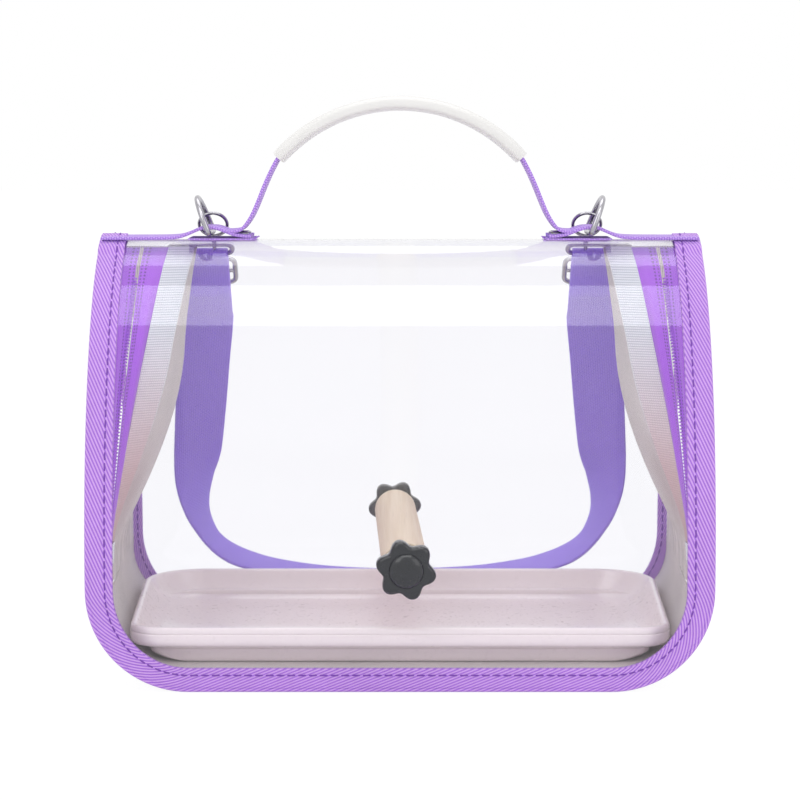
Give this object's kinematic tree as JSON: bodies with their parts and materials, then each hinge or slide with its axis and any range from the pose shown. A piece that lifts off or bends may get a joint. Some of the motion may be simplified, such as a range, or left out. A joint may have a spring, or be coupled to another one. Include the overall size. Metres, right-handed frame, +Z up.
{
  "type": "bird travel carrier",
  "caption": "Clear satchel-shaped travel carrier for a small bird, with mesh sides, side zips, a clamped wooden perch, a loose tray, a grip handle and a clip-on shoulder strap.",
  "frame": {"origin": "middle of the footprint, on the ground", "axes": "+Z up, +X to the right seen from the front, +Y from the front panel to the back panel; the front faces -Y"},
  "size_m": [0.27, 0.1908, 0.2552],
  "materials": {
    "clear_sheet": "clear soft vinyl",
    "purple_twill": "twill tape",
    "purple_webbing": "ribbed webbing",
    "purple_zip": "knitted zip tape and coil",
    "white_tape": "ribbed tape",
    "mesh": "fine mesh",
    "steel": "plated wire",
    "brass": "machined",
    "grip": "soft vinyl",
    "wood": "bare",
    "knob": "moulded",
    "tray": "moulded"
  },
  "bodies": {
    "bag": {"clear_sheet": "clear_sheet", "front_binding": "purple_twill", "back_binding": "purple_twill", "floor_mesh": "mesh", "left_side_mesh": "mesh", "right_side_mesh": "mesh", "left_edge_tape": "white_tape", "right_edge_tape": "white_tape", "left_zip_tape": "purple_zip", "right_zip_tape": "purple_zip", "left_zip_coil": "purple_zip", "right_zip_coil": "purple_zip", "left_ridge_webbing": "purple_webbing", "right_ridge_webbing": "purple_webbing", "left_ring_keeper": "purple_webbing", "right_ring_keeper": "purple_webbing", "left_rivet": "steel", "right_rivet": "steel", "left_link": "steel", "right_link": "steel", "perch_rod": "wood", "front_insert": "brass", "back_insert": "brass"},
    "left_ring": {"left_d_ring": "steel"},
    "right_ring": {"right_d_ring": "steel"},
    "handle": {"handle_webbing": "purple_webbing", "grip_sleeve": "grip"},
    "strap": {"shoulder_strap": "purple_webbing", "left_strap_loop": "steel", "right_strap_loop": "steel"},
    "left_strap_slider": {"left_strap_slider": "steel"},
    "right_strap_slider": {"right_strap_slider": "steel"},
    "left_zip_slider": {"left_zip_slider": "steel"},
    "left_zip_pull": {"left_zip_pull": "steel"},
    "right_zip_slider": {"right_zip_slider": "steel"},
    "right_zip_pull": {"right_zip_pull": "steel"},
    "front_knob": {"front_knob": "knob", "front_stud": "steel"},
    "back_knob": {"back_knob": "knob", "back_stud": "steel"},
    "tray": {"tray": "tray"}
  },
  "joints": [
    {"name": "left_ring_swing", "type": "hinge", "parent": "bag", "child": "left_ring", "pos_m": [-0.0855, 0, 0.1941], "axis": [0, 1, 0], "range_deg": [-15, 15]},
    {"name": "right_ring_swing", "type": "hinge", "parent": "bag", "child": "right_ring", "pos_m": [0.0855, 0, 0.1941], "axis": [0, 1, 0], "range_deg": [-15, 15]},
    {"name": "handle_tilt", "type": "hinge", "parent": "bag", "child": "handle", "pos_m": [0, 0, 0.1943], "axis": [1, 0, 0], "range_deg": [-85, 85], "deforming": ["handle_webbing"]},
    {"name": "strap_swing", "type": "hinge", "parent": "bag", "child": "strap", "pos_m": [0, 0.0195, 0.1885], "axis": [1, 0, 0], "range_deg": [0, 140]},
    {"name": "left_strap_adjust", "type": "slide", "parent": "strap", "child": "left_strap_slider", "axis": [0, 0.6391, -0.7691], "range_m": [0, 0.015]},
    {"name": "right_strap_adjust", "type": "slide", "parent": "strap", "child": "right_strap_slider", "axis": [0, 0.6391, -0.7691], "range_m": [0, 0.015]},
    {"name": "left_zip_run", "type": "hinge", "parent": "bag", "child": "left_zip_slider", "pos_m": [-0.1266, 0.135, 0.05002], "axis": [-0.9972, 0, 0.075], "range_deg": [0, 28], "deforming": ["left_zip_tape"]},
    {"name": "left_pull_flip", "type": "hinge", "parent": "left_zip_slider", "child": "left_zip_pull", "pos_m": [-0.12948, -0.06478, 0.05976], "axis": [-0.003, 0.9992, -0.0399], "range_deg": [0, 170]},
    {"name": "right_zip_run", "type": "hinge", "parent": "bag", "child": "right_zip_slider", "pos_m": [0.1266, 0.135, 0.05002], "axis": [-0.9972, 0, -0.075], "range_deg": [0, 28], "deforming": ["right_zip_tape"]},
    {"name": "right_pull_flip", "type": "hinge", "parent": "right_zip_slider", "child": "right_zip_pull", "pos_m": [0.12948, -0.06478, 0.05976], "axis": [-0.003, -0.9992, 0.0399], "range_deg": [0, 170]},
    {"name": "front_knob_turn", "type": "hinge", "parent": "bag", "child": "front_knob", "pos_m": [0.00237, -0.07546, 0.0548], "axis": [0.0314, -0.9995, 0], "continuous": true},
    {"name": "back_knob_turn", "type": "hinge", "parent": "bag", "child": "back_knob", "pos_m": [-0.00237, 0.07546, 0.0548], "axis": [-0.0314, 0.9995, 0], "continuous": true},
    {"name": "tray_lift", "type": "slide", "parent": "bag", "child": "tray", "axis": [0, 0, 1], "range_m": [0, 0.015]}
  ]
}
